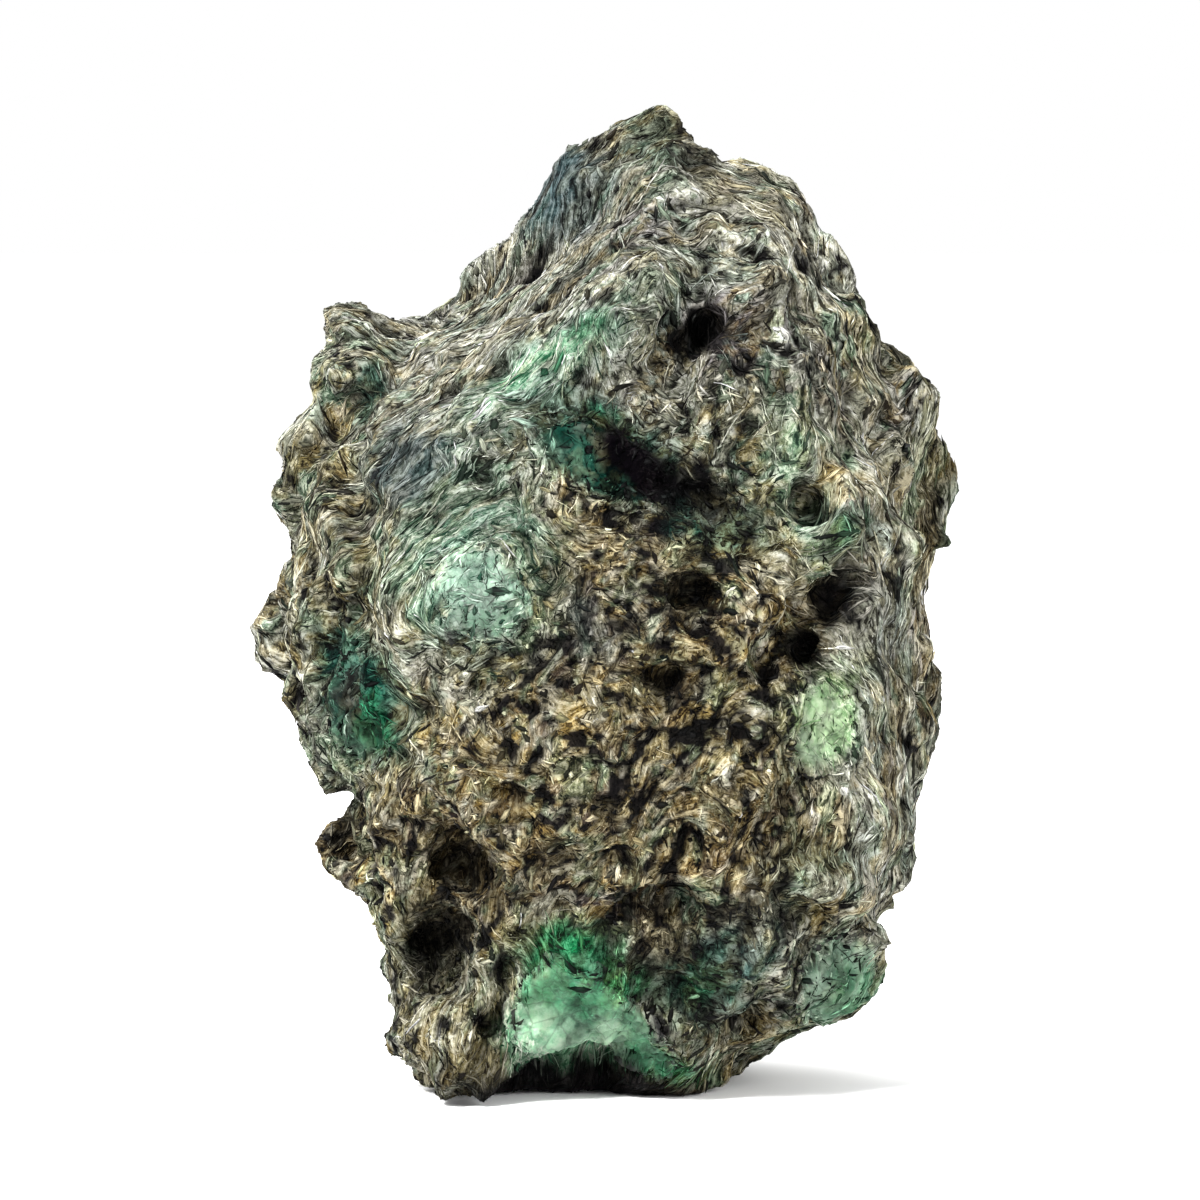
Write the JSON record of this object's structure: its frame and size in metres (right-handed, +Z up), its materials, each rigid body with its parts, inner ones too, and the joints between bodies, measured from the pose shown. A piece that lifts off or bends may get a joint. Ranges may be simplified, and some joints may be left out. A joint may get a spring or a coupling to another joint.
{
  "type": "raw emerald in matrix",
  "caption": "Upright rough lump of grey-brown mica schist with green emerald masses grown in its front and side, resting on a small flat spot.",
  "frame": {"origin": "on the flat resting spot under the lump, near the spot's middle", "axes": "+Z up to the summit crag, -Y out of the front that shows the emeralds, +X to the right seen from the front"},
  "size_m": [0.0576, 0.0491, 0.0782],
  "materials": {
    "mica_schist": "rough",
    "emerald_bright": "broken crystal",
    "emerald_mint": "broken crystal",
    "emerald_light": "broken crystal",
    "emerald_dark": "broken crystal",
    "emerald_seam": "broken crystal",
    "emerald_foot": "broken crystal"
  },
  "bodies": {
    "root": {"matrix": "mica_schist", "emerald_lower_front": "emerald_bright", "emerald_left_front": "emerald_mint", "emerald_right_front": "emerald_light", "emerald_dark_centre": "emerald_dark", "emerald_left_seam": "emerald_seam", "emerald_right_foot": "emerald_foot"}
  },
  "joints": []
}
